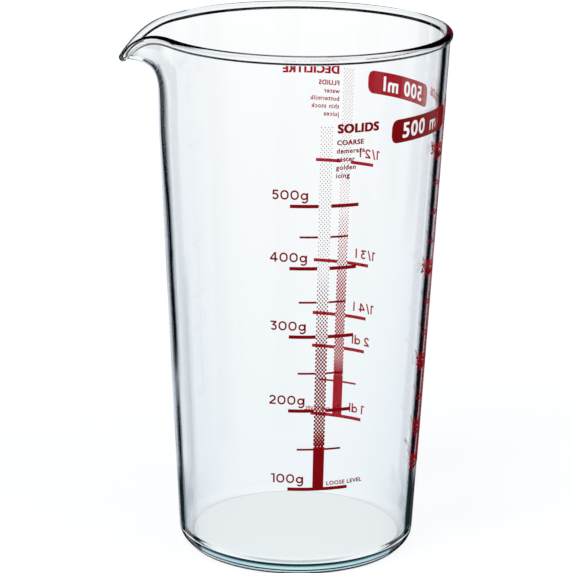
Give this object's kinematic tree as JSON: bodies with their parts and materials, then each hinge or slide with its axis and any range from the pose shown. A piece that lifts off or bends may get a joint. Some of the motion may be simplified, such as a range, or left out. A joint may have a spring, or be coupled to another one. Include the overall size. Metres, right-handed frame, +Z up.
{
  "type": "measuring jug",
  "caption": "Tall tapered clear glass measuring jug with a beaded rim, a pulled pouring lip and red enamel scales for liquid, sugar and flour on its outer wall.",
  "frame": {"origin": "centre of the flat underside, on the glass's axis", "axes": "+Z up along the glass's axis, -Y the front with the sugar scale, -X the side of the pouring lip"},
  "size_m": [0.1019, 0.0918, 0.165],
  "materials": {
    "glass": "clear and fire polished",
    "enamel": "gloss"
  },
  "bodies": {
    "root": {"glass_body": "glass", "sugar_bar": "enamel", "sugar_major_marks": "enamel", "sugar_minor_marks": "enamel", "sugar_numerals": "enamel", "flour_bar": "enamel", "flour_major_marks": "enamel", "flour_minor_marks": "enamel", "flour_numerals": "enamel", "liquid_bar": "enamel", "liquid_major_marks": "enamel", "liquid_minor_marks": "enamel", "liquid_numerals": "enamel", "front_badge": "enamel", "rear_badge": "enamel"}
  },
  "joints": []
}
